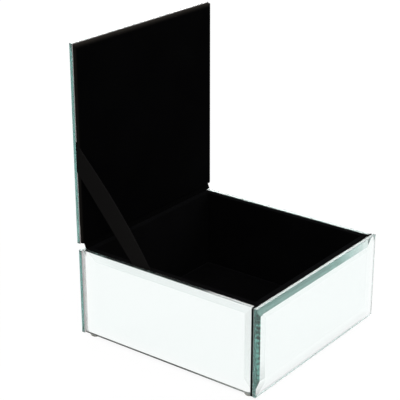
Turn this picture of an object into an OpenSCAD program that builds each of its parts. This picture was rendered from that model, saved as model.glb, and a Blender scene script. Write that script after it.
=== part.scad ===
// Keepsake box of bevelled mirror glass on a board case covered in velvet. The lid stands open
// at a right angle on a cloth hinge, and leans back on one ribbon at its left end.
// X runs along the hinge, the front faces -Y, and Z is up from the surface under the feet.

/* [Case] */
// Width over the side mirrors
case_w = 150; // [110:1:240]
// Depth over the front and back mirrors
case_d = 155.5; // [120:0.5:240]
// Height of the four mirrors round the case
glass_h = 64.8; // [50:0.1:120]

/* [Mirror glass] */
// Thickness of the plate inside its bevels
glass_t = 4; // [3:0.1:6]
// Width of the bevel along every edge
bevel_w = 8.5; // [4:0.5:15]
// Depth that the bevel takes off the plate at its edge
bevel_drop = 1.4; // [0.5:0.1:2]
// Width of the black joint between the front mirror and the end of a side mirror
joint_w = 1.5; // [0.5:0.1:3]
// How far the filler of that joint lies inside the faces round it
joint_inset = 0.1; // [0.1:0.1:0.5]

/* [Walls] */
// Thickness of the wall boards
board_t = 3; // [2:0.1:5]
// Thickness of the padded velvet on the walls
lining_t = 1.6; // [0.8:0.1:3]
// Thickness of the velvet where it wraps over the top of a board
wrap_t = 0.6; // [0.4:0.1:1]
// Radius of the velvet along the inner top edge
lining_r = 1; // [0.4:0.1:1.4]

/* [Floor] */
// Thickness of the base board
base_t = 3; // [2:0.1:5]
// Thickness of the felt under the base board
felt_t = 0.8; // [0.5:0.1:1.5]
// Thickness of the padded velvet floor
pad_t = 3; // [2:0.1:6]
// Radius of the floor pad's soft edge
pad_r = 1.5; // [0.5:0.1:1.9]
// Room between the felt or the floor pad and what stands round it
cloth_gap = 0.1; // [0.05:0.05:0.3]

/* [Feet] */
// Diameter of a clear bumper foot where it sticks to the base
foot_d = 7.6; // [6:0.1:12]
// Height of a foot
foot_h = 2.5; // [1.5:0.1:5]
// Diameter of the flat that a foot stands on
foot_flat_d = 3.6; // [2:0.1:5]
// From the outside of a side mirror to the nearest point of a foot
foot_side = 1.6; // [1:0.1:10]
// From the outside of the front or back mirror to the nearest point of a foot
foot_end = 5.9; // [4:0.1:20]

/* [Lid] */
// The closed lid's front edge, behind the face of the front mirror
lid_front = 2.8; // [0:0.1:4]
// The closed lid's rear edge, in front of the face of the back mirror
lid_rear = 8.1; // [6:0.1:9]
// Each side of the lid, inside the face of the side mirror
lid_side = 0.3; // [0:0.1:2]
// Thickness of the board behind the lid's velvet
lid_board_t = 1.4; // [1:0.1:3]
// Thickness of the lid's velvet
lid_velvet_t = 0.7; // [0.4:0.1:1.5]
// Radius of the velvet's corners on the lid
lid_corner_r = 3; // [1:0.1:8]
// Edge of the lid's velvet, inside the edge of its mirror
lid_inset = 0.4; // [0.2:0.1:2]

/* [Hinge cloth] */
// Thickness of the hinge cloth
cloth_t = 0.4; // [0.2:0.1:0.8]
// Cloth that is glued in behind the back board, and again behind the lid board
cloth_tuck = 14; // [8:0.5:25]
// Room at each end of the cloth
cloth_end = 0.4; // [0.2:0.1:5]
// Height above the walls of the line that the cloth folds on
hinge_rise = 1; // [0.6:0.1:2]
// From the back of the back mirror forward to that line
hinge_inset = 0.35; // [0.2:0.05:0.8]
// Room between the closed lid and the top of the walls
lid_gap = 0.3; // [0.2:0.1:1]

/* [Ribbon] */
// Width of the ribbon that stays the lid
ribbon_w = 12.7; // [6:0.1:20]
// Thickness of the ribbon
ribbon_t = 0.4; // [0.2:0.1:0.8]
// Height above the wall at which the ribbon leaves the lid
ribbon_rise = 69.5; // [50:0.25:85]
// Distance in front of the lid at which the ribbon enters the wall
ribbon_reach = 52.5; // [35:0.25:60]
// Ribbon that is glued in at each end
ribbon_tuck = 18; // [8:0.5:30]
// How far the ribbon stands off the lid's side where it folds round it
ribbon_off = 0.4; // [0.2:0.1:1]
// How far the ribbon's front edge bows towards the inside of the box
ribbon_bow = 3.5; // [0:0.1:6]

/* [Hidden] */

$fn = 48;

mirror_color = [0.85, 0.93, 0.9];
edge_tape_color = [0.75, 0.72, 0.62];
joint_color = [0.08, 0.08, 0.08];
card_color = [0.45, 0.4, 0.33];
velvet_color = [0.05, 0.05, 0.055];
ribbon_color = [0.09, 0.09, 0.1];
bumper_color = [0.9, 0.92, 0.93];

// How the four walls are turned: each is drawn as the front wall, facing -Y.
front = 0;
right = 90;
back = 180;
left = -90;

// Planes of the wall, from the glass inward
edge_t = glass_t - bevel_drop;
glue_t = max(cloth_t, ribbon_t);
glass_in_x = case_w / 2 - glass_t;
glass_in_y = case_d / 2 - glass_t;
board_out_x = glass_in_x - glue_t;
board_out_y = glass_in_y - glue_t;
wall_t = glue_t + board_t + lining_t;

// Levels of the case
board_z = foot_h + felt_t;
base_top = board_z + base_t;
top_z = foot_h + glass_h;
board_top = top_z - wrap_t;

// The hinge line. One quarter turn about +X closes the lid: its velvet then lies lid_gap
// above the walls, with its rear edge at lid_rear.
hinge_y = glass_in_y - hinge_inset;
hinge_z = top_z + hinge_rise;
closed_rear_y = case_d / 2 - lid_rear;
closed_under_z = top_z + lid_gap;

// The lid as it stands open, turned back about that line: its back is the mirror, its front
// the velvet
lid_w = case_w - 2 * lid_side;
lid_l = case_d - lid_front - lid_rear;
lid_z = hinge_z + hinge_y - closed_rear_y;
lid_film_y = hinge_y - hinge_z + closed_under_z + lid_velvet_t + lid_board_t;
lid_glass_y = lid_film_y + glue_t;

cloth_w = 2 * (glass_in_x - cloth_end);
cloth_show = lid_z - top_z;

// The ribbon's run, seen from the side: from its foot on the left wall up to the lid
ribbon_foot_y = lid_film_y - ribbon_reach;
ribbon_l = norm([ribbon_reach, ribbon_rise]);
ribbon_way = [ribbon_reach, ribbon_rise] / ribbon_l;
ribbon_top_x = -lid_w / 2 - ribbon_off;
ribbon_foot_x = -board_out_x - ribbon_t / 2;
ribbon_steps = 16;

// --- Shapes that several pieces share ---

// Points of a plate's section: flat at depth 0, bevelled at both ends of its face at depth t
function plate_section(across) = [
    [-across / 2, 0], [across / 2, 0], [across / 2, edge_t], [across / 2 - bevel_w, glass_t],
    [-across / 2 + bevel_w, glass_t], [-across / 2, edge_t],
];

// Draws its children in the plane of Y and Z, and extrudes them along X from the middle
module along_x(length) {
    rotate([90, 0, 90]) linear_extrude(length, center = true) children();
}

// A mirror plate standing on Z 0, its silvered back on Y 0 and its bevelled face towards -Y
module mirror_plate(w, h) {
    intersection() {
        linear_extrude(h) polygon([for (p = plate_section(w)) [p.x, -p.y]]);
        along_x(w) polygon([for (p = plate_section(h)) [-p.y, p.x + h / 2]]);
    }
}

// A bar section w by t on X, rounded with radius r at both ends of its +Y side
module round_shoulders(w, t, r) {
    translate([-w / 2, 0]) square([w, t - r]);
    translate([-w / 2 + r, 0]) square([w - 2 * r, t]);
    for (side = [-1, 1]) translate([side * (w / 2 - r), t - r]) circle(r);
}

module round_corners(w, l, r) {
    square([w - 2 * r, l], center = true);
    square([w, l - 2 * r], center = true);
    for (x = [-1, 1], y = [-1, 1]) translate([x * (w / 2 - r), y * (l / 2 - r)]) circle(r);
}

// A flat pad on Z 0 whose upper edges are rolled over with radius r and corners with corner_r
module soft_slab(w, l, t, r, corner_r) {
    intersection() {
        rotate([90, 0, 0]) linear_extrude(l, center = true) round_shoulders(w, t, r);
        along_x(w) round_shoulders(l, t, r);
        linear_extrude(t) round_corners(w, l, corner_r);
    }
}

// Stands its children, drawn as the front wall with the glass's inner plane on Y 0, at a wall
module at_wall(turn) {
    reach = turn == front || turn == back ? glass_in_y : glass_in_x;
    rotate([0, 0, turn]) translate([0, -reach, 0]) children();
}

// Half the length of a wall's boards along their outer face
function board_half(turn) = turn == front || turn == back ? board_out_x : board_out_y;

// A strip of ribbon seen flat, which runs off along way: its first end is cut by the line that
// it leaves, along the first axis, and its last end is cut square. Room makes it larger all round.
function ribbon_strip(way, length, room = 0) = let (
    across = sign(way.y) * [-way.y, way.x],
    half = ribbon_w / 2 + room,
    skew = half / abs(way.y)
) [
    [-skew, 0], [skew, 0],
    (length + room) * way - half * across, (length + room) * way + half * across,
];

// --- Mirror plates ---

module wall_mirror(turn) {
    // The front and back plates cover the ends of the side plates, with a joint at the front
    side = turn == right ? 1 : turn == left ? -1 : 0;
    w = side == 0 ? case_w : 2 * glass_in_y - joint_w;
    color(mirror_color) at_wall(turn)
        translate([side * joint_w / 2, 0, foot_h]) mirror_plate(w, glass_h);
}

// The black filler in the joint at the left (-1) or right (1) end of the front mirror
module front_joint(side) {
    w = glass_t - joint_inset;
    color(joint_color)
        translate([side * (glass_in_x + w / 2) - w / 2, -glass_in_y, foot_h + joint_inset])
            cube([w, joint_w, glass_h - 2 * joint_inset]);
}

module lid_mirror() {
    color(mirror_color)
        translate([0, lid_glass_y, lid_z]) rotate([0, 0, 180]) mirror_plate(lid_w, lid_l);
}

// --- Adhesive films between the plates and the boards ---

module wall_adhesive(turn) {
    half = turn == front || turn == back ? glass_in_x : board_out_y;
    // Behind the back board the film stops below the tucked hinge cloth
    film_top = turn == back ? top_z - cloth_tuck - cloth_gap : board_top;
    color(edge_tape_color) difference() {
        at_wall(turn) translate([-half, 0, board_z]) cube([2 * half, glue_t, film_top - board_z]);
        if (turn == left) ribbon_case_tab_shape(3 * glue_t, cloth_gap);
    }
}

module lid_adhesive() {
    w = lid_w - 2 * lid_inset;
    low = lid_z + cloth_tuck + cloth_gap;
    color(edge_tape_color) difference() {
        translate([-w / 2, lid_film_y, low]) cube([w, glue_t, lid_z + lid_l - lid_inset - low]);
        ribbon_lid_tab_shape(3 * glue_t, cloth_gap);
    }
}

// --- Boards ---

module wall_board(turn) {
    // The side boards stand between the front and back boards
    half = turn == front || turn == back ? board_out_x : board_out_y - board_t;
    color(card_color) at_wall(turn)
        translate([-half, glue_t, board_z]) cube([2 * half, board_t, board_top - board_z]);
}

module base_board() {
    half_x = board_out_x - board_t;
    half_y = board_out_y - board_t;
    color(card_color)
        translate([-half_x, -half_y, board_z]) cube([2 * half_x, 2 * half_y, base_t]);
}

module lid_board() {
    inset = lid_inset + lid_velvet_t;
    color(card_color) translate([0, lid_film_y, lid_z + lid_l / 2]) rotate([90, 0, 0])
        linear_extrude(lid_board_t) round_corners(lid_w - 2 * inset, lid_l - 2 * inset,
            max(lid_corner_r - lid_velvet_t, 0.1));
}

// --- Velvet ---

// The velvet of one wall: it covers the board's inner face and wraps over its top edge
module lining_section() {
    inner = wall_t;
    difference() {
        union() {
            translate([glue_t, board_top]) square([inner - glue_t, wrap_t]);
            translate([inner - lining_t, base_top]) square([lining_t, top_z - base_top]);
        }
        translate([inner - lining_r, top_z - lining_r]) difference() {
            square(2 * lining_r);
            circle(lining_r);
        }
    }
}

module wall_lining(turn) {
    half = board_half(turn);
    depth = wall_t - glue_t;
    color(velvet_color) at_wall(turn) intersection() {
        along_x(2 * half) lining_section();
        // The ends are mitred, so that four linings meet in the corners
        translate([0, glue_t, base_top]) linear_extrude(top_z - base_top)
            polygon([[-half, 0], [half, 0], [half - depth, depth], [depth - half, depth]]);
    }
}

module floor_pad() {
    w = 2 * (glass_in_x - wall_t - cloth_gap);
    l = 2 * (glass_in_y - wall_t - cloth_gap);
    color(velvet_color) translate([0, 0, base_top]) soft_slab(w, l, pad_t, pad_r, pad_r);
}

module base_felt() {
    w = 2 * (glass_in_x - cloth_gap);
    l = 2 * (glass_in_y - cloth_gap);
    color(velvet_color) translate([-w / 2, -l / 2, foot_h]) cube([w, l, felt_t]);
}

// The lid's velvet is a shallow tray drawn over its board
module lid_velvet() {
    w = lid_w - 2 * lid_inset;
    l = lid_l - 2 * lid_inset;
    color(velvet_color) difference() {
        translate([0, lid_film_y, lid_z + lid_l / 2]) rotate([90, 0, 0])
            soft_slab(w, l, lid_board_t + lid_velvet_t, lid_velvet_t, lid_corner_r);
        lid_board();
    }
}

// --- Hinge cloth ---

module hinge_case_flap() {
    color(ribbon_color) translate([-cloth_w / 2, glass_in_y - cloth_t, top_z - cloth_tuck])
        cube([cloth_w, cloth_t, cloth_tuck]);
}

module hinge_lid_flap() {
    color(ribbon_color) translate([-cloth_w / 2, lid_glass_y - cloth_t, lid_z])
        cube([cloth_w, cloth_t, cloth_tuck]);
}

// The bare cloth eases from the plane of the case's flap to that of the lid's
module hinge_fold() {
    steps = 10;
    function ease(t) = glass_in_y + (lid_glass_y - glass_in_y) * (1 - cos(180 * t)) / 2;
    outer = [for (i = [0:steps]) [ease(i / steps), top_z + cloth_show * i / steps]];
    inner = [for (i = [steps:-1:0]) outer[i] - [cloth_t, 0]];
    color(ribbon_color) along_x(cloth_w) polygon(concat(outer, inner));
}

// --- Ribbon ---

// The end that goes down between the left board and the left mirror
module ribbon_case_tab_shape(thick = ribbon_t, room = 0) {
    translate([ribbon_foot_x, ribbon_foot_y, top_z]) rotate([90, 0, 90])
        linear_extrude(thick, center = true) polygon(ribbon_strip(-ribbon_way, ribbon_tuck, room));
}

// The end that folds round the lid's left side and runs in between its board and its mirror
module ribbon_lid_tab_shape(thick = ribbon_t, room = 0) {
    strip = ribbon_strip([ribbon_way.y, ribbon_way.x], ribbon_tuck, room);
    translate([ribbon_top_x, lid_glass_y - ribbon_t / 2, top_z + ribbon_rise])
        rotate([90, 0, 0]) linear_extrude(thick, center = true)
            polygon([for (p = strip) [p.y, p.x]]);
}

module ribbon_case_tab() {
    color(ribbon_color) ribbon_case_tab_shape();
}

module ribbon_lid_tab() {
    color(ribbon_color) ribbon_lid_tab_shape();
}

// The free ribbon: one edge at a time, from the wall at t 0 to the lid at t 1. Its ends lie on
// the wall's top and on the lid's side, and its front edge bows inward.
function ribbon_edge(t, side) = let (
    foot = [ribbon_foot_y + side * ribbon_w / 2 / ribbon_way.y, top_z],
    head = [lid_glass_y - ribbon_t, top_z + ribbon_rise - side * ribbon_w / 2 / ribbon_way.x],
    bow = ribbon_bow * (1 - side) / 2 * pow(sin(180 * t), 2)
) [(1 - t) * ribbon_foot_x + t * (ribbon_top_x + ribbon_t / 2) + bow,
    (1 - t) * foot.x + t * head.x, (1 - t) * foot.y + t * head.y];

module stay_ribbon() {
    half = [ribbon_t / 2, 0, 0];
    points = [for (i = [0:ribbon_steps]) let (
        fore = ribbon_edge(i / ribbon_steps, -1), rear = ribbon_edge(i / ribbon_steps, 1)
    ) each [fore - half, fore + half, rear + half, rear - half]];
    last = 4 * ribbon_steps;
    sides = [for (i = [0:ribbon_steps - 1], k = [0:3]) let (
        a = 4 * i + k, b = 4 * i + (k + 1) % 4
    ) each [[a, a + 4, b], [b, a + 4, b + 4]]];
    color(ribbon_color) polyhedron(points,
        concat([[0, 1, 2], [0, 2, 3], [last, last + 2, last + 1], [last, last + 3, last + 2]], sides));
}

// --- Feet ---

// A clear bumper is a slice of a ball: flat where it stands, widest where it sticks to the base
module foot(x_side, y_side) {
    ball_z = (pow(foot_d / 2, 2) - pow(foot_flat_d / 2, 2) + pow(foot_h, 2)) / (2 * foot_h);
    color(bumper_color) translate([
        x_side * (case_w / 2 - foot_side - foot_d / 2), y_side * (case_d / 2 - foot_end - foot_d / 2), 0
    ]) intersection() {
        cylinder(h = foot_h, d = foot_d);
        translate([0, 0, ball_z]) sphere(norm([foot_flat_d / 2, ball_z]));
    }
}

wall_mirror(front);  // front_mirror
wall_mirror(back);  // back_mirror
wall_mirror(left);  // left_mirror
wall_mirror(right);  // right_mirror
front_joint(-1);  // front_joint_left
front_joint(1);  // front_joint_right
wall_adhesive(front);  // front_adhesive
wall_adhesive(back);  // back_adhesive
wall_adhesive(left);  // left_adhesive
wall_adhesive(right);  // right_adhesive
wall_board(front);  // front_board
wall_board(back);  // back_board
wall_board(left);  // left_board
wall_board(right);  // right_board
base_board();
wall_lining(front);  // front_lining
wall_lining(back);  // back_lining
wall_lining(left);  // left_lining
wall_lining(right);  // right_lining
floor_pad();
base_felt();
foot(-1, -1);  // foot_front_left
foot(1, -1);  // foot_front_right
foot(-1, 1);  // foot_rear_left
foot(1, 1);  // foot_rear_right
hinge_case_flap();
hinge_fold();
ribbon_case_tab();
stay_ribbon();
lid_mirror();
lid_adhesive();
lid_board();
lid_velvet();
hinge_lid_flap();
ribbon_lid_tab();
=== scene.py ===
import math

import bmesh
import bpy
from mathutils import Euler, Matrix, Vector, noise


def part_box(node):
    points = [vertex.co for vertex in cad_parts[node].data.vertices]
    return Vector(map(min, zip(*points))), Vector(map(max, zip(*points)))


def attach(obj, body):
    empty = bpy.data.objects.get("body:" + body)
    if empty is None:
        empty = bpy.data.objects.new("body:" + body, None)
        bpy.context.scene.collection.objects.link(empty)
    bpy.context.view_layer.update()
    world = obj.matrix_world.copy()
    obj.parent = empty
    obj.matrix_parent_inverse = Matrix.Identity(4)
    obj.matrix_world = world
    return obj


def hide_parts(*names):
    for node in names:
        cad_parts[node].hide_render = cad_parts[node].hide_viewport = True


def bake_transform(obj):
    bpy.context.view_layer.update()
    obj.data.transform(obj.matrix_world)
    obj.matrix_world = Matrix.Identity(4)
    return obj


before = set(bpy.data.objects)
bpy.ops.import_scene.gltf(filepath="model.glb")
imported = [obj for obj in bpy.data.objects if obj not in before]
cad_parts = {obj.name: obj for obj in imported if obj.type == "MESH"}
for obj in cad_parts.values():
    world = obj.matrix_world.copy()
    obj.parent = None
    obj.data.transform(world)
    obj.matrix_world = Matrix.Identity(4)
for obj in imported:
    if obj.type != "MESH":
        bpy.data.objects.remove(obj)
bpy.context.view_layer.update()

scene = bpy.context.scene
print("frame loaded:", len(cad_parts), "nodes")


# Camera, fitted to the photo
photoView = {
    "azimuth": -52.658,  # degrees round the box, from its front towards its left side
    "elevation": 22.169,
    "roll": -0.091,
    "place": (-0.66683, -0.4825, 0.43501),
    "lens": 113.666,
    "nearest": 0.01,
}


def addCamera(view):
    tilt, swing = math.radians(90 - view["elevation"]), math.radians(view["azimuth"])
    aim = Euler((tilt, 0, swing)).to_matrix()
    turn = (aim @ Matrix.Rotation(math.radians(view["roll"]), 3, "Z")).to_euler()
    bpy.ops.object.camera_add(location=view["place"], rotation=turn)
    camera = bpy.context.active_object
    camera.name = "photoCamera"
    camera.data.lens = view["lens"]
    camera.data.clip_start = view["nearest"]
    scene.camera = camera


addCamera(photoView)
print("camera placed")


# Modelling helpers
onPlane = 0.00002  # a point this near a plane lies on it
sameWay = 0.9  # directions whose dot product is above this run the same way


def at(value, plane):
    return abs(value - plane) < onPlane


def leaveEdit():
    if bpy.context.object and bpy.context.object.mode != "OBJECT":
        bpy.ops.object.mode_set(mode="OBJECT")


def makeActive(piece):
    leaveEdit()
    bpy.ops.object.select_all(action="DESELECT")
    piece.select_set(True)
    bpy.context.view_layer.objects.active = piece


def applyPlace(piece):
    makeActive(piece)
    bpy.ops.object.transform_apply(location=True, rotation=True, scale=True)


def startPiece(name, addPrimitive, **settings):
    leaveEdit()
    bpy.ops.object.select_all(action="DESELECT")
    addPrimitive(**settings)
    piece = bpy.context.active_object
    piece.name = piece.data.name = name
    applyPlace(piece)
    return piece


def addBlock(name, low, high):
    low, high = Vector(low), Vector(high)
    return startPiece(name, bpy.ops.mesh.primitive_cube_add, size=1,
                      location=(low + high) / 2, scale=high - low)


def copyPiece(piece, name):
    twin = piece.copy()
    twin.data = piece.data.copy()
    twin.name = twin.data.name = name
    scene.collection.objects.link(twin)
    return twin


def openMesh(piece, kind):
    makeActive(piece)
    bpy.ops.object.mode_set(mode="EDIT")
    bpy.ops.mesh.select_mode(type=kind)
    bpy.ops.mesh.select_all(action="DESELECT")
    return bmesh.from_edit_mesh(piece.data)


def pickFaces(piece, test):
    for face in openMesh(piece, "FACE").faces:
        if test(face.calc_center_median(), face.normal):
            face.select_set(True)
    bmesh.update_edit_mesh(piece.data)


def pickEdges(piece, test):
    for edge in openMesh(piece, "EDGE").edges:
        start, end = (vert.co for vert in edge.verts)
        if test((start + end) / 2, (end - start).normalized()):
            edge.select_set(True)
    bmesh.update_edit_mesh(piece.data)


def pickAll(piece):
    pickFaces(piece, lambda centre, normal: True)


def bevelPicked(offset, segments):
    bpy.ops.mesh.bevel(offset=offset, segments=segments, affect="EDGES")


# Gives the piece's picked faces one more material
def coatPicked(piece, material):
    piece.data.materials.append(material)
    piece.active_material_index = len(piece.data.materials) - 1
    bpy.ops.object.material_slot_assign()


def smooth(piece, angle=35):
    makeActive(piece)
    bpy.ops.object.shade_smooth_by_angle(angle=math.radians(angle))


def thicken(piece, thickness):
    makeActive(piece)
    modifier = piece.modifiers.new("Thickness", "SOLIDIFY")
    modifier.thickness = thickness
    modifier.offset = 0
    bpy.ops.object.modifier_apply(modifier=modifier.name)


# A grid sheet whose points are laid by a function of (along, across), both from 0 to 1
def layGrid(name, columns, rows, lay):
    sheet = startPiece(name, bpy.ops.mesh.primitive_grid_add, size=1,
                       x_subdivisions=columns, y_subdivisions=rows)
    for vert in sheet.data.vertices:
        vert.co = lay(vert.co.x + 0.5, vert.co.y + 0.5)
    return sheet


def finishPiece(piece, body, slot, *nodes):
    leaveEdit()
    if body:
        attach(piece, body)
    if nodes:
        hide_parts(*nodes)


# Node helpers
def setInputs(node, values):
    for label, value in values.items():
        socket = node.inputs[label]
        if isinstance(value, bpy.types.NodeSocket):
            node.id_data.links.new(value, socket)
        elif socket.type == "RGBA" and len(value) == 3:
            socket.default_value = (*value, 1)
        else:
            socket.default_value = value


def addNode(tree, kind, values=None, **settings):
    node = tree.nodes.new("ShaderNode" + kind)
    for label, value in settings.items():
        setattr(node, label, value)
    setInputs(node, values or {})
    return node


def objectPlace(tree):
    return addNode(tree, "TexCoord").outputs["Object"]


def addNoise(tree, place, values):
    return addNode(tree, "TexNoise", {"Vector": place} | values).outputs["Fac"]


def addMath(tree, operation, first, second=0.0, clamp=False):
    node = addNode(tree, "Math", operation=operation, use_clamp=clamp)
    setInputs(node, {0: first, 1: second})
    return node.outputs[0]


def mixColours(tree, share, first, second):
    node = addNode(tree, "Mix", data_type="RGBA")
    setInputs(node, {"Factor": share, 6: first, 7: second})
    return node.outputs[2]


# Maps start to low and end to high
def spread(tree, value, low, high, start=0.0, end=1.0):
    node = addNode(tree, "MapRange", {"Value": value, "From Min": start, "From Max": end,
                                      "To Min": low, "To Max": high})
    return node.outputs[0]


def startMaterial(name, values):
    material = bpy.data.materials.new(name)
    material.use_nodes = True
    shader = material.node_tree.nodes["Principled BSDF"]
    setInputs(shader, values)
    return material, material.node_tree, shader


def startGroup(name, inputs, outputs):
    group = bpy.data.node_groups.new(name, "ShaderNodeTree")
    for way, labels in (("INPUT", inputs), ("OUTPUT", outputs)):
        for label in labels:
            group.interface.new_socket(label, in_out=way, socket_type="NodeSocketFloat")
    return group, group.nodes.new("NodeGroupInput"), group.nodes.new("NodeGroupOutput")


def useGroup(tree, group, values):
    node = tree.nodes.new("ShaderNodeGroup")
    node.node_tree = group
    setInputs(node, values)
    return node


def addBump(tree, shader, height, strength, distance):
    bump = addNode(tree, "Bump", {"Height": height, "Strength": strength, "Distance": distance})
    setInputs(shader, {"Normal": bump.outputs["Normal"]})


# Pile of velvet and felt: broad patches where the nap leans over, and the fibres themselves
pilePattern = {
    "patch": {"Detail": 3.0, "Roughness": 0.55, "Distortion": 0.6},
    "patchRange": (0.32, 0.68),
    "fibre": {"Detail": 2.0, "Roughness": 0.7},
    "fibreRange": (0.3, 0.7),
}


def makePileGroup(plan):
    group, given, result = startGroup("pileGrain", ("Patch", "Fibre", "Mottle"),
                                      ("Shade", "Height"))
    place = objectPlace(group)
    patch = addNoise(group, place, {"Scale": given.outputs["Patch"]} | plan["patch"])
    fibre = addNoise(group, place, {"Scale": given.outputs["Fibre"]} | plan["fibre"])
    broad = spread(group, patch, 0.0, 1.0, *plan["patchRange"])
    near = spread(group, fibre, 0.0, 1.0, *plan["fibreRange"])
    share = given.outputs["Mottle"]
    part = addMath(group, "MULTIPLY", broad, share)
    rest = addMath(group, "MULTIPLY", near, addMath(group, "SUBTRACT", 1.0, share))
    setInputs(result, {"Shade": addMath(group, "ADD", part, rest), "Height": near})
    return group


# Threads of a woven band, counted per metre of its own map
weavePattern = {
    "drift": {"Scale": 160.0, "Detail": 3.0},  # slow change of shade along the band
    "driftRange": (0.6, 1.2),
}


def makeWeaveGroup(plan):
    group, given, result = startGroup("threadWeave", ("Length", "Width", "Warp", "Weft"),
                                      ("Shade", "Height"))
    cut = addNode(group, "SeparateXYZ", {0: addNode(group, "TexCoord").outputs["UV"]})

    def wave(way, size, count):
        reach = addMath(group, "MULTIPLY", cut.outputs[way], given.outputs[size])
        turns = addMath(group, "MULTIPLY", reach, given.outputs[count])
        return addMath(group, "SINE", addMath(group, "MULTIPLY", turns, math.pi))

    crossing = addMath(group, "MULTIPLY", wave("Y", "Width", "Warp"), wave("X", "Length", "Weft"))
    height = spread(group, crossing, 0.0, 1.0, -1.0, 1.0)
    drift = addNoise(group, objectPlace(group), plan["drift"])
    shade = addMath(group, "MULTIPLY", height, spread(group, drift, *plan["driftRange"]))
    setInputs(result, {"Shade": shade, "Height": height})
    return group


# Sparse specks of lint or of fibre in card, as a mask
def makeSpeckGroup():
    group, given, result = startGroup("lintSpecks", ("Scale", "Size", "Share"), ("Mask",))
    cell = addNode(group, "TexVoronoi", {"Vector": objectPlace(group),
                                         "Scale": given.outputs["Scale"]})
    dot = addMath(group, "LESS_THAN", cell.outputs["Distance"], given.outputs["Size"])
    pick = addNode(group, "SeparateColor", {0: cell.outputs["Color"]})
    some = addMath(group, "LESS_THAN", pick.outputs[0], given.outputs["Share"])
    setInputs(result, {"Mask": addMath(group, "MULTIPLY", dot, some)})
    return group


pileGrain = makePileGroup(pilePattern)
threadWeave = makeWeaveGroup(weavePattern)
lintSpecks = makeSpeckGroup()


# Mirror glass: clear green-tinged glass, and the silver on its back face
glassLook = {
    "tint": (0.05, 0.6, 0.54),  # what the glass lets through, per density
    "density": 10.5,
    "ior": 1.52,
    "ground": 0.15,  # roughness of a cut edge, times the attribute groundEdge of its faces
    "silver": (0.962, 0.958, 0.954),
    "silverEdge": 0.8,  # what silver keeps of light that grazes it inside the glass
    "haze": {"Scale": 12.0, "Detail": 2.0},
    "hazed": 0.995,  # how bright the silver is where it is hazed, against the rest
}


def makePlateGlass(look):
    material, tree, shader = startMaterial("plateGlass", {
        "Base Color": (1, 1, 1), "Roughness": 0.0, "IOR": look["ior"],
        "Transmission Weight": 1.0})
    edge = addNode(tree, "Attribute", attribute_name="groundEdge").outputs["Fac"]
    setInputs(shader, {"Roughness": addMath(tree, "MULTIPLY", edge, look["ground"])})
    absorb = addNode(tree, "VolumeAbsorption", {"Color": look["tint"], "Density": look["density"]})
    tree.links.new(absorb.outputs[0], tree.nodes["Material Output"].inputs["Volume"])
    return material


def makeSilver(look):
    material, tree, shader = startMaterial("plateSilver", {
        "Metallic": 1.0, "Roughness": 0.0, "Specular Tint": (look["silverEdge"],) * 3})
    haze = addNoise(tree, objectPlace(tree), look["haze"])
    lower = tuple(level * look["hazed"] for level in look["silver"])
    setInputs(shader, {"Base Color": mixColours(tree, haze, look["silver"], lower)})
    return material


# Velvet and felt
# One velvet in two copies: these colours are painted lighter to lift the shade inside the case
velvetLook = {
    "surface": {"Roughness": 1.0, "Specular IOR Level": 0.0, "Sheen Roughness": 0.4,
                "Sheen Tint": (0.5, 0.5, 0.55)},
    "sheen": 0.03,
    "pile": {"Patch": 20.0, "Fibre": 2600.0, "Mottle": 0.55},
    "specks": {"Scale": 260.0, "Size": 0.05, "Share": 0.12},
    "colours": ((0.0017, 0.0017, 0.0018), (0.0038, 0.0038, 0.004)),  # deep in the pile, and on it
    "lint": (0.02, 0.02, 0.021),
    "bump": (0.6, 0.00012),
}
# The lid's copy of the same velvet, with darker colours and less sheen: painted shade, taking down
# the stronger light on the lid
lidLook = velvetLook | {
    "sheen": 0.02,
    "colours": ((0.0008, 0.0008, 0.0009), (0.0019, 0.0019, 0.002)),
}
feltLook = velvetLook | {
    "sheen": 0.08,
    "pile": {"Patch": 60.0, "Fibre": 1500.0, "Mottle": 0.3},
    "colours": ((0.006, 0.006, 0.007), (0.02, 0.02, 0.022)),
    "lint": (0.06, 0.06, 0.06),
    "bump": (0.6, 0.0002),
}
# Painted sheen on the lid's velvet, along its left and top edges
edgeSheenPaint = {
    "reach": (0.0018, 0.0036),  # from the left edge and from the top edge
    "share": 0.5,  # how strong the painted sheen is at the left edge, against the top one
    "fall": 2.0,
    "colour": (0.026, 0.023, 0.02),
    "wander": {"Scale": 220.0, "Detail": 3.0},
    "patchy": (0.7, 1.3),
}


def makePile(name, look):
    material, tree, shader = startMaterial(name, look["surface"])
    setInputs(shader, {"Sheen Weight": look["sheen"]})
    pile = useGroup(tree, pileGrain, look["pile"])
    lint = useGroup(tree, lintSpecks, look["specks"])
    cloth = mixColours(tree, pile.outputs["Shade"], *look["colours"])
    setInputs(shader, {"Base Color": mixColours(tree, lint.outputs["Mask"], cloth, look["lint"])})
    addBump(tree, shader, pile.outputs["Height"], *look["bump"])
    return material


# Painted sheen: the lid's pile is painted lighter and browner in patches along its left and top
# edges, for the light from the upper left that catches its turned edges
def paintEdgeSheen(material, look):
    low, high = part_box("lid_velvet")
    tree = material.node_tree
    shader = tree.nodes["Principled BSDF"]
    place = objectPlace(tree)
    cut = addNode(tree, "SeparateXYZ", {0: place})
    left = spread(tree, cut.outputs["X"], look["share"], 0, low.x, low.x + look["reach"][0])
    top = spread(tree, cut.outputs["Z"], 0, 1, high.z - look["reach"][1], high.z)
    near = addMath(tree, "POWER", addMath(tree, "MAXIMUM", left, top), look["fall"])
    patches = spread(tree, addNoise(tree, place, look["wander"]), *look["patchy"])
    share = addMath(tree, "MULTIPLY", near, patches, clamp=True)
    cloth = shader.inputs["Base Color"].links[0].from_socket
    setInputs(shader, {"Base Color": mixColours(tree, share, cloth, look["colour"])})


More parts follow.
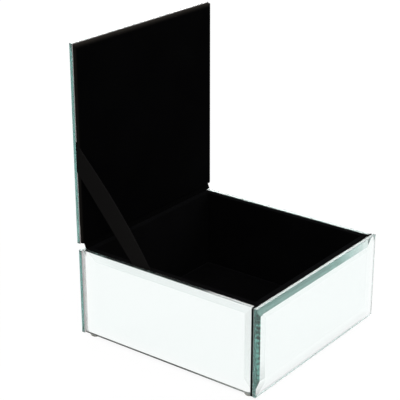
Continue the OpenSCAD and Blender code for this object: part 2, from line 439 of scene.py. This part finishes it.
# Woven bands: length and width in metres, and threads per metre
hingeLook = {
    "weave": {"Length": 0.1412, "Width": 0.033, "Warp": 2400.0, "Weft": 2000.0},
    # A dark cloth, with its colours darkened further: painted shade for the shadow gap at the
    # hinge's fold
    "colours": ((0.0004, 0.0004, 0.00045), (0.0014, 0.0014, 0.0015)),
    "surface": {"Roughness": 0.9, "Specular IOR Level": 0.02},
    "bump": (0.5, 0.00008),
}
satinLook = {
    "weave": {"Length": 0.123, "Width": 0.0127, "Warp": 5200.0, "Weft": 3600.0},
    "colours": ((0.0017, 0.0015, 0.0014), (0.0034, 0.003, 0.0028)),
    "surface": {"Roughness": 0.5, "Specular IOR Level": 0.04},
    "bump": (0.5, 0.00004),
}


def makeWoven(name, look):
    material, tree, shader = startMaterial(name, look["surface"])
    weave = useGroup(tree, threadWeave, look["weave"])
    setInputs(shader, {"Base Color": mixColours(tree, weave.outputs["Shade"], *look["colours"])})
    addBump(tree, shader, weave.outputs["Height"], *look["bump"])
    return material


# Coats, films and fillers, whose colour and height follow one grain
glueLook = {
    "surface": {"Roughness": 0.6, "Specular IOR Level": 0.3},
    "grain": {"Scale": 90.0, "Detail": 4.0, "Distortion": 1.5},
    "colours": ((0.02, 0.021, 0.02), (0.05, 0.052, 0.05)),
    "bump": (0.3, 0.0001),
}
fillerLook = {
    "surface": {"Roughness": 0.75, "Specular IOR Level": 0.05},
    "grain": {"Scale": 900.0, "Detail": 3.0},
    "colours": ((0.001, 0.0022, 0.0018), (0.0024, 0.0046, 0.0038)),
    "bump": (0.4, 0.00005),
}
paintLook = {
    "surface": {"Roughness": 0.7, "Specular IOR Level": 0.3},
    "grain": {"Scale": 240.0, "Detail": 4.0},
    "colours": ((0.72, 0.66, 0.66), (0.8, 0.75, 0.74)),
    "bump": (0.3, 0.00004),
}
sealLook = {
    "surface": {"Roughness": 0.6, "Specular IOR Level": 0.3},
    "grain": {"Scale": 400.0, "Detail": 4.0},
    "colours": ((0.04, 0.044, 0.038), (0.08, 0.086, 0.074)),
    "frontLight": (0.6, 0.6, 0.57),
    "frontLightAlong": (-0.062, -0.012),  # painted light: the coat is pale up to the first Y and keeps its own dark colour from the second on, so the plate's top edge reads brighter toward the front
}
cardLook = {
    "surface": {"Roughness": 0.9, "Specular IOR Level": 0.2},
    "grain": {"Scale": 700.0, "Detail": 5.0, "Roughness": 0.7},
    "colours": ((0.16, 0.14, 0.11), (0.3, 0.27, 0.22)),
    "flecks": {"Scale": 420.0, "Size": 0.12, "Share": 0.2},
    "fleckColour": (0.08, 0.07, 0.06),
    "bump": (0.4, 0.00005),
}


def makeCoat(name, look):
    material, tree, shader = startMaterial(name, look["surface"])
    place = objectPlace(tree)
    grain = addNoise(tree, place, look["grain"])
    colour = mixColours(tree, grain, *look["colours"])
    # Painted light: the coat turns paler toward the front, so that the top edge seen through the
    # glass reads brighter there
    if "frontLight" in look:
        along = addNode(tree, "SeparateXYZ", {0: place}).outputs["Y"]
        colour = mixColours(tree, spread(tree, along, 1, 0, *look["frontLightAlong"]),
                            colour, look["frontLight"])
    if "flecks" in look:
        fleck = useGroup(tree, lintSpecks, look["flecks"])
        colour = mixColours(tree, fleck.outputs["Mask"], colour, look["fleckColour"])
    setInputs(shader, {"Base Color": colour})
    if "bump" in look:
        addBump(tree, shader, grain, *look["bump"])
    return material


bumperLook = {
    "surface": {"Base Color": (0.8, 0.79, 0.72), "IOR": 1.49, "Transmission Weight": 0.6},
    "scuffs": {"Scale": 1400.0, "Detail": 3.0},
    "roughness": (0.15, 0.35),
}


def makeBumper(look):
    material, tree, shader = startMaterial("clearBumper", look["surface"])
    scuff = addNoise(tree, objectPlace(tree), look["scuffs"])
    setInputs(shader, {"Roughness": spread(tree, scuff, *look["roughness"])})
    return material


plateGlass = makePlateGlass(glassLook)
plateSilver = makeSilver(glassLook)
platePaint = makeCoat("platePaint", paintLook)
edgeSeal = makeCoat("edgeSeal", sealLook)
jointBlack = makeCoat("jointBlack", fillerLook)
glueFilm = makeCoat("glueFilm", glueLook)
rawCard = makeCoat("rawCard", cardLook)
velvetPile = makePile("velvetPile", velvetLook)
lidPile = makePile("lidPile", lidLook)
paintEdgeSheen(lidPile, edgeSheenPaint)
blackFelt = makePile("blackFelt", feltLook)
hingeWeave = makeWoven("hingeWeave", hingeLook)
ribbonSatin = makeWoven("ribbonSatin", satinLook)
clearBumper = makeBumper(bumperLook)
print("materials made")


# Mirror plates
mirrorPlate = {
    "bevelWidth": 0.0085,
    "bevelDrop": 0.0014,
    "arris": 0.00015,  # the fine chamfer that keeps cut glass from chipping
    "filmGap": 0.00016,  # between the silver and the film behind it, for the paint
    "paint": (0.00003, 0.00012),  # where the paint lies in that gap
    "paintRim": 0.0004,
    "backJoint": 0.0001,  # the side plates stop this far in front of the back plate
    "frontJoint": 0.0004,  # and the filler of the front joints takes this much of them
    "ground": (1.0, 1.6, 2.3),  # how rough the edges are: along the top, at the ends, at the foot
    "sealed": "leftPlate",  # the plate with a coat on its foot edge
}


def addPlate(name, node, outward, body):
    plan = mirrorPlate
    low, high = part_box(node)
    outward = Vector(outward)
    axis = [abs(part) for part in outward].index(1)
    rear, front = (low, high) if outward[axis] > 0 else (high, low)
    rear[axis] += outward[axis] * plan["filmGap"]
    front[axis] -= outward[axis] * plan["bevelDrop"]
    if axis == 0:
        high.y -= plan["backJoint"]
        low.y += plan["frontJoint"]
    plate = addBlock(name, low, high)
    pickFaces(plate, lambda centre, normal: normal.dot(outward) > sameWay)
    bpy.ops.mesh.inset(thickness=plan["bevelWidth"], depth=plan["bevelDrop"])
    pickEdges(plate, lambda middle, way: sum(
        at(middle[i], low[i]) or at(middle[i], high[i]) for i in range(3)) == 2)
    bevelPicked(plan["arris"], segments=1)
    leaveEdit()
    plate.data.materials.append(plateGlass)
    pickFaces(plate, lambda centre, normal: normal.dot(outward) < -sameWay)
    coatPicked(plate, plateSilver)
    if name == plan["sealed"]:
        pickFaces(plate, lambda centre, normal: normal.z < -0.5)  # with the foot's chamfers
        coatPicked(plate, edgeSeal)
    leaveEdit()
    top, end, foot = plan["ground"]
    ground = plate.data.attributes.new("groundEdge", "FLOAT", "FACE")
    for face in plate.data.polygons:
        rise = face.normal.z
        rough = foot if rise < -sameWay else top if rise > sameWay else end
        ground.data[face.index].value = rough if abs(face.normal[axis]) < sameWay else 0
    finishPiece(plate, body, "mirror_glass", node)
    addPaint(name.replace("Plate", "Paint"), low, high, axis, outward[axis], body)


# The paint that covers the silver, a skin just behind it
def addPaint(name, low, high, axis, way, body):
    plan = mirrorPlate
    low, high = low.copy(), high.copy()
    silver = low[axis] if way > 0 else high[axis]
    skin = sorted(silver - way * (plan["filmGap"] - depth) for depth in plan["paint"])
    for i in range(3):
        low[i] += plan["arris"]
        high[i] -= plan["arris"]
    low[axis], high[axis] = skin
    paint = addBlock(name, low, high)
    pickFaces(paint, lambda centre, normal: abs(normal[axis]) > sameWay)
    bpy.ops.mesh.inset(thickness=plan["paintRim"])
    leaveEdit()
    paint.data.materials.append(platePaint)
    finishPiece(paint, body, "mirror_glass")


addPlate("frontPlate", "front_mirror", (0, -1, 0), "case")
addPlate("backPlate", "back_mirror", (0, 1, 0), "case")
addPlate("leftPlate", "left_mirror", (-1, 0, 0), "case")
addPlate("rightPlate", "right_mirror", (1, 0, 0), "case")
addPlate("lidPlate", "lid_mirror", (0, 1, 0), "lid")
print("mirror plates cut")


# Black filler in the joints behind the front plate
jointFiller = {
    "slack": 0.00005,
    "shrunk": 0.0002,
    "round": (0.0003, 3),  # width and segments
    "outside": 0.073,  # the edges further out than this are rounded, and the top ones
}


def addJoint(name, node):
    plan = jointFiller
    low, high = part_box(node)
    for i, gap in enumerate((plan["slack"], plan["slack"], plan["shrunk"])):
        low[i] += gap
        high[i] -= gap
    high.y += mirrorPlate["frontJoint"]
    joint = addBlock(name, low, high)
    pickEdges(joint, lambda middle, way: abs(way.z) > sameWay and abs(middle.x) > plan["outside"]
              or at(middle.z, high.z))
    bevelPicked(*plan["round"])
    smooth(joint)
    joint.data.materials.append(jointBlack)
    finishPiece(joint, "case", "joint_filler", node)


addJoint("frontJointLeft", "front_joint_left")
addJoint("frontJointRight", "front_joint_right")


# Velvet over the four walls
wallVelvet = {
    "top": 0.0673,
    "wrap": 0.0006,  # thickness over the top of the board
    "padded": 0.0016,  # thickness over its inner face
    "foot": 0.0063,
    "outside": 0.0004,  # from the glass to the board
    "inside": 0.005,  # from the glass to the room
    "fold": (0.001, 5),  # width and segments
    "cuts": (31, 13),  # along the wall and down it
    "plainRim": 0.002,  # left straight at the top and at the corners
    "slack": 0.00012,  # how far the cloth wanders between its glued edges
    "wander": (60, 3, 70),  # along the wall, from wall to wall, and down it
    "flatRise": 0.0652,  # what the cut cloth measures from its foot to its outer edge
}
wallTurns = {"front": 0, "right": 90, "back": 180, "left": -90}


def addLining(side):
    plan = wallVelvet
    if side in ("front", "back"):
        glass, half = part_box("back_mirror")[0].y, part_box("back_board")[1].x
    else:
        glass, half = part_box("right_mirror")[0].x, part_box("right_lining")[1].y
    depth = plan["inside"] - plan["outside"]
    split = plan["inside"] - plan["padded"]
    lining = addBlock(side + "Lining", (-half, plan["outside"], plan["top"] - plan["wrap"]),
                      (half, plan["inside"], plan["top"]))
    pickAll(lining)
    bpy.ops.mesh.bisect(plane_co=(0, split, 0), plane_no=(0, 1, 0))
    pickFaces(lining, lambda centre, normal: normal.z < -sameWay and centre.y > split)
    bpy.ops.mesh.extrude_region_move(TRANSFORM_OT_translate={
        "value": (0, 0, plan["foot"] + plan["wrap"] - plan["top"])})
    pickEdges(lining, lambda middle, way: abs(way.x) > sameWay and at(middle.y, plan["inside"])
              and at(middle.z, plan["top"]))
    bevelPicked(*plan["fold"])
    pickEdges(lining, lambda middle, way: abs(way.x) > sameWay)
    bpy.ops.mesh.subdivide(number_cuts=plan["cuts"][0])
    pickEdges(lining, lambda middle, way: abs(way.z) > sameWay
              and middle.z < plan["top"] - plan["plainRim"])
    bpy.ops.mesh.subdivide(number_cuts=plan["cuts"][1])
    for end in (-1, 1):  # mitres
        pickAll(lining)
        bpy.ops.mesh.bisect(plane_co=(end * half, plan["outside"], 0), plane_no=(end, 1, 0),
                            use_fill=True, clear_outer=True)
    leaveEdit()
    turn = wallTurns[side]
    across, apart, down = plan["wander"]
    for vert in lining.data.vertices:
        place = vert.co
        if at(place.y, plan["inside"]) and abs(place.x) < half - depth - plan["plainRim"]:
            drift = noise.noise(Vector((place.x * across, turn * apart, place.z * down)))
            place.y -= plan["slack"] * (1 + drift)
    lining.location.y = -glass
    applyPlace(lining)
    lining.rotation_euler.z = math.radians(turn)
    applyPlace(lining)
    smooth(lining)
    lining.data.materials.append(velvetPile)
    finishPiece(lining, "case", "velvet", side + "_lining")


for wallSide in wallTurns:
    addLining(wallSide)
print("walls lined")


# Floor pad
padShape = {
    "cuts": 35,
    "crowd": 1.7,  # how much the cuts crowd towards the rim
    "roll": 0.0015,
    "crown": 0.0007,
    "crownReach": 0.03,
    "dent": 0.00025,
    "dentSize": 45,
    "dentReach": 0.006,
}


def addFloorPad():
    plan = padShape
    low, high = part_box("floor_pad")
    pad = addBlock("floorPad", (-1, -1, 0), (1, 1, 1))  # its points are laid out below
    pickAll(pad)
    bpy.ops.mesh.subdivide(number_cuts=plan["cuts"])
    leaveEdit()
    half = (high - low) / 2
    roll = plan["roll"]
    for vert in pad.data.vertices:
        x, y, z = vert.co
        spot = [math.copysign(reach * (1 - (1 - min(abs(share), 1)) ** plan["crowd"]), share)
                for share, reach in ((x, half.x), (y, half.y))]
        edge = min(half.x - abs(spot[0]), half.y - abs(spot[1]))
        rolled = max(0, roll - edge)
        top = high.z - roll + math.sqrt(max(0, roll ** 2 - rolled ** 2))
        middle = min(1, edge / plan["crownReach"])
        top -= plan["crown"] * (1 - middle * middle * (3 - 2 * middle))
        size = plan["dentSize"]
        dent = plan["dent"] * (1 + noise.noise(Vector((spot[0] * size, spot[1] * size, 0))))
        top -= dent * min(1, edge / plan["dentReach"])
        vert.co = (spot[0], spot[1], low.z + z * (top - low.z))
    smooth(pad, angle=60)
    pad.data.materials.append(velvetPile)
    finishPiece(pad, "case", "velvet", "floor_pad")


addFloorPad()


# Felt under the base
feltSheet = {"corner": (0.001, 3), "edge": (0.0003, 3)}  # width and segments


def addBaseFelt():
    plan = feltSheet
    low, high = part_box("base_felt")
    felt = addBlock("baseFelt", low, high)
    pickEdges(felt, lambda middle, way: abs(way.z) > sameWay)
    bevelPicked(*plan["corner"])
    pickEdges(felt, lambda middle, way: at(middle.z, low.z))
    bevelPicked(*plan["edge"])
    smooth(felt)
    felt.data.materials.append(blackFelt)
    finishPiece(felt, "case", "felt", "base_felt")


addBaseFelt()


# Velvet over the lid board
lidCloth = {
    "corner": (0.0012, 8),  # width and segments
    "fold": (0.0007, 4),
    "board": 0.0014,
    "slack": 0.00002,
    "turned": 0.0042,  # what two opposite edges turn over, in all
}


def addLidVelvet():
    plan = lidCloth
    low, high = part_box("lid_velvet")
    velvet = addBlock("lidVelvet", low, high)
    pickEdges(velvet, lambda middle, way: abs(way.y) > sameWay)
    bevelPicked(*plan["corner"])
    pickFaces(velvet, lambda centre, normal: normal.y > sameWay)
    bpy.ops.mesh.inset(thickness=plan["fold"][0] - plan["slack"])
    bpy.ops.mesh.extrude_region_move(TRANSFORM_OT_translate={
        "value": (0, -plan["board"] - plan["slack"], 0)})
    pickEdges(velvet, lambda middle, way: at(middle.y, low.y))
    bevelPicked(*plan["fold"])
    smooth(velvet)
    velvet.data.materials.append(lidPile)
    finishPiece(velvet, "lid", "velvet", "lid_velvet")


addLidVelvet()
print("pads and lid covered")


# Hinge cloth
hingeTape = {
    "tuck": 0.014,
    "thick": 0.00034,
    "ear": 0.0034,  # how far its bare part reaches beyond its tucks at the right end
    "earStart": 0.0002,  # above the case
    "earEnd": 0.0003,  # above the lid's lower edge
    "earSlope": 0.0005,
    "ripple": 0.00008,
    "rippleSize": (300, 200),
    "cuts": (48, 60),
}


def addHingeCloth():
    plan = hingeTape
    caseLow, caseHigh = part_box("hinge_case_flap")
    lidLow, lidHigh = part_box("hinge_lid_flap")
    bare = lidLow.z - caseHigh.z
    total = 2 * plan["tuck"] + bare

    def lay(along, across):
        rise = across * total - plan["tuck"]
        share = min(1, max(0, rise / bare))
        ease = (1 - math.cos(math.pi * share)) / 2
        y = (1 - ease) * (caseLow.y + caseHigh.y) / 2 + ease * (lidLow.y + lidHigh.y) / 2
        opening = max(0, (rise - plan["earStart"]) / plan["earSlope"])
        closing = max(0, (bare + plan["earEnd"] - rise) / plan["earSlope"])
        ear = min(1, opening, closing) * plan["ear"]
        x = caseLow.x + along * (caseHigh.x - caseLow.x + ear)
        spot = Vector((x * plan["rippleSize"][0], 0, rise * plan["rippleSize"][1]))
        y += plan["ripple"] * math.sin(math.pi * share) * noise.noise(spot)
        return (x, y, caseHigh.z + rise)

    cloth = layGrid("hingeCloth", *plan["cuts"], lay)
    thicken(cloth, plan["thick"])
    smooth(cloth)
    cloth.data.materials.append(hingeWeave)
    finishPiece(cloth, None, "hinge_cloth", "hinge_case_flap", "hinge_fold", "hinge_lid_flap")
    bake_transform(cloth)


addHingeCloth()


# Ribbon stay
ribbonStay = {
    "width": 0.0127,
    "thick": 0.0004,
    "tuck": 0.018,
    "foot": (-0.0708, 0.0223, 0.0673),  # the middle of its width where it leaves the wall
    "head": (-0.0749, 0.0748, 0.1368),  # and where it reaches the lid's edge
    "tabPlane": 0.075,  # between the lid's board and its mirror
    "bow": 0.003,  # of its front edge, towards the inside
    "sway": (0.0036, 0.00322, -0.00202),  # of its middle: closed, it lies behind the silver
    "swayPeak": 0.9,  # below 1, its widest sway is nearer to the foot
    "cup": 0.0004,
    "cuts": (96, 12),
    "bendStart": (0, 0.01145, 0.06577),
    "bendEnd": (0, 0.08439, 0.07603),
}


def addRibbon():
    plan = ribbonStay
    tuck = plan["tuck"]
    foot, head = Vector(plan["foot"]), Vector(plan["head"])
    run = head - foot
    run.x = 0
    span = run.length
    way = run.normalized()
    footHalf = plan["width"] / 2 / way.z  # half of its slanted cut along the wall
    headHalf = plan["width"] / 2 / way.y
    total = span + 2 * tuck

    def lay(along, across):
        side = 2 * across - 1  # -1 on the front edge, 1 on the rear edge
        gone = along * total - tuck
        footSpot = foot + Vector((0, side * footHalf, 0))
        headSpot = head - Vector((0, 0, side * headHalf))
        square = side * plan["width"] / 2
        if gone < 0:
            end = foot - way * tuck + Vector((0, way.z, -way.y)) * square
            return footSpot.lerp(end, -gone / tuck)
        if gone <= span:
            share = gone / span
            spot = footSpot.lerp(headSpot, share)
            swing = math.sin(math.pi * share ** plan["swayPeak"])
            spot += Vector(plan["sway"]) * swing
            spot.x += plan["bow"] * (1 - side) / 2 * swing
            spot.x += plan["cup"] * (1 - side * side) * math.sin(math.pi * share)
            return spot
        over, beside = Vector((way.y, 0, way.z)), Vector((way.z, 0, -way.y))
        start = Vector((headSpot.x, plan["tabPlane"], headSpot.z))
        end = Vector((head.x, plan["tabPlane"], head.z)) + over * tuck + beside * square
        return start.lerp(end, (gone - span) / tuck)

    ribbon = layGrid("stayRibbon", *plan["cuts"], lay)
    thicken(ribbon, plan["thick"])
    smooth(ribbon)
    ribbon.data.materials.append(ribbonSatin)
    finishPiece(ribbon, None, "ribbon", "ribbon_case_tab", "stay_ribbon", "ribbon_lid_tab")
    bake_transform(ribbon)


addRibbon()
print("hinge cloth and ribbon laid")


# Feet: one is modelled, and the others are its copies
bumperFoot = {
    "corners": ("front_left", "front_right", "rear_left", "rear_right"),
    "points": 40,
    "round": (0.002, 8),  # width and segments
    "lift": 0.00002,  # how far it stops below the felt
}


def shapeFoot(name, low, high):
    plan = bumperFoot
    middle = (low + high) / 2
    height = high.z - low.z - plan["lift"]
    foot = startPiece(name, bpy.ops.mesh.primitive_cylinder_add, vertices=plan["points"],
                      radius=(high.x - low.x) / 2, depth=height,
                      location=(middle.x, middle.y, height / 2))
    pickEdges(foot, lambda spot, way: at(spot.z, 0))
    bevelPicked(*plan["round"])
    smooth(foot, angle=50)
    foot.data.materials.append(clearBumper)
    return foot


def addFeet():
    feet = {}
    for corner in bumperFoot["corners"]:
        node = "foot_" + corner
        name = "foot" + corner.title().replace("_", "")
        low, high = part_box(node)
        if not feet:
            first, firstLow = shapeFoot(name, low, high), low
            feet[node] = first
        else:
            feet[node] = copyPiece(first, name)
            feet[node].location = (low.x - firstLow.x, low.y - firstLow.y, 0)
            applyPlace(feet[node])
    for node, foot in feet.items():
        finishPiece(foot, "case", "bumper", node)


addFeet()


# CAD nodes that stay
boards = ("front_board", "back_board", "left_board", "right_board", "base_board", "lid_board")
films = ("front_adhesive", "back_adhesive", "left_adhesive", "right_adhesive", "lid_adhesive")


def dressNodes(names, material):
    for name in names:
        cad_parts[name].material_slots[0].material = material


dressNodes(boards, rawCard)
dressNodes(films, glueFilm)
print("feet added, boards and films dressed")


# Floor and world
studio = {
    "floorSize": 8,
    "floorGlow": 0.93,
    "mirroredGlow": 0.97,  # what mirror and glass see of the floor
    "floorShade": 0.1,  # the part of its white that comes from the lamps and keeps the shadow
    "floorPale": 0.7,  # what the floor throws back at the object
    "under": (0.074, 0.077),  # half the box's footprint, where the floor's glow seen by mirror and glass is cut out: a painted shadow
    "inwards": 0.012,  # where that shadow starts to fade
    "outwards": (0.004, 0.012),  # and where it ends, beside the box and in front of it
    "seenWorld": 1.0,
    "litWorld": 0.55,
}
lamps = {
    "keyLamp": {"place": (-0.8, -0.7, 1.0), "size": 0.9, "power": 7.0},
    "fillLamp": {"place": (0.9, -0.9, 0.8), "size": 1.0, "power": 3.0},
    "rearLamp": {"place": (1.08, 0.82, 0.62), "size": 0.6, "power": 5.0},
}
bounces = {  # many, because light runs a long way inside the plates
    "max_bounces": 48,
    "glossy_bounces": 44,
    "transmission_bounces": 44,
    "diffuse_bounces": 4,
}


# 1 for what the camera sees, itself or by mirror or glass, and 0 for light that falls on things
def seenDirectly(tree):
    path = addNode(tree, "LightPath")
    seen = addMath(tree, "MAXIMUM", path.outputs["Is Camera Ray"], path.outputs["Is Glossy Ray"])
    return addMath(tree, "MAXIMUM", seen, path.outputs["Is Transmission Ray"])


def addFloor(plan):
    floor = startPiece("studioFloor", bpy.ops.mesh.primitive_plane_add, size=plan["floorSize"])
    material = bpy.data.materials.new("floorSweep")
    material.use_nodes = True
    tree = material.node_tree
    tree.nodes.remove(tree.nodes["Principled BSDF"])
    pale = addNode(tree, "BsdfDiffuse", {"Color": (plan["floorPale"],) * 3})
    path = addNode(tree, "LightPath")
    cut = addNode(tree, "SeparateXYZ", {0: objectPlace(tree)})
    # Painted shadow: mirror and glass see the floor dark under the box, fading out beside it and
    # in front of it
    outside = addMath(tree, "MAXIMUM", *(
        spread(tree, addMath(tree, "ABSOLUTE", cut.outputs[i]), 0, 1,
               reach - plan["inwards"], reach + plan["outwards"][i])
        for i, reach in enumerate(plan["under"])))
    mirrored = addMath(tree, "MULTIPLY", outside, plan["mirroredGlow"])
    level = addNode(tree, "Mix", {"Factor": path.outputs["Is Camera Ray"], 2: mirrored,
                                  3: plan["floorGlow"]})
    glow = addNode(tree, "Emission", {"Strength": level.outputs[0]})
    shade = addNode(tree, "BsdfDiffuse", {"Color": (plan["floorShade"],) * 3})
    white = addNode(tree, "AddShader", {0: glow.outputs[0], 1: shade.outputs[0]})
    mix = addNode(tree, "MixShader", {0: seenDirectly(tree), 1: pale.outputs[0],
                                      2: white.outputs[0]})
    tree.links.new(mix.outputs[0], tree.nodes["Material Output"].inputs["Surface"])
    floor.data.materials.append(material)


def addWorld(plan):
    world = bpy.data.worlds.new("studioWorld")
    world.use_nodes = True
    tree = world.node_tree
    level = spread(tree, seenDirectly(tree), plan["litWorld"], plan["seenWorld"])
    setInputs(tree.nodes["Background"], {"Color": (1, 1, 1), "Strength": level})
    scene.world = world


def addLamp(name, place, size, power):
    bpy.ops.object.light_add(type="AREA", location=place)
    lamp = bpy.context.active_object
    lamp.name = name
    lamp.rotation_euler = (-Vector(place)).to_track_quat("-Z", "Y").to_euler()
    lamp.data.size = size
    lamp.data.energy = power
    lamp.visible_camera = False


addFloor(studio)
addWorld(studio)
for lampName, lampPlan in lamps.items():
    addLamp(lampName, **lampPlan)

scene.view_settings.view_transform = "Standard"
for bounceKind, count in bounces.items():
    setattr(scene.cycles, bounceKind, count)
print("studio lit")
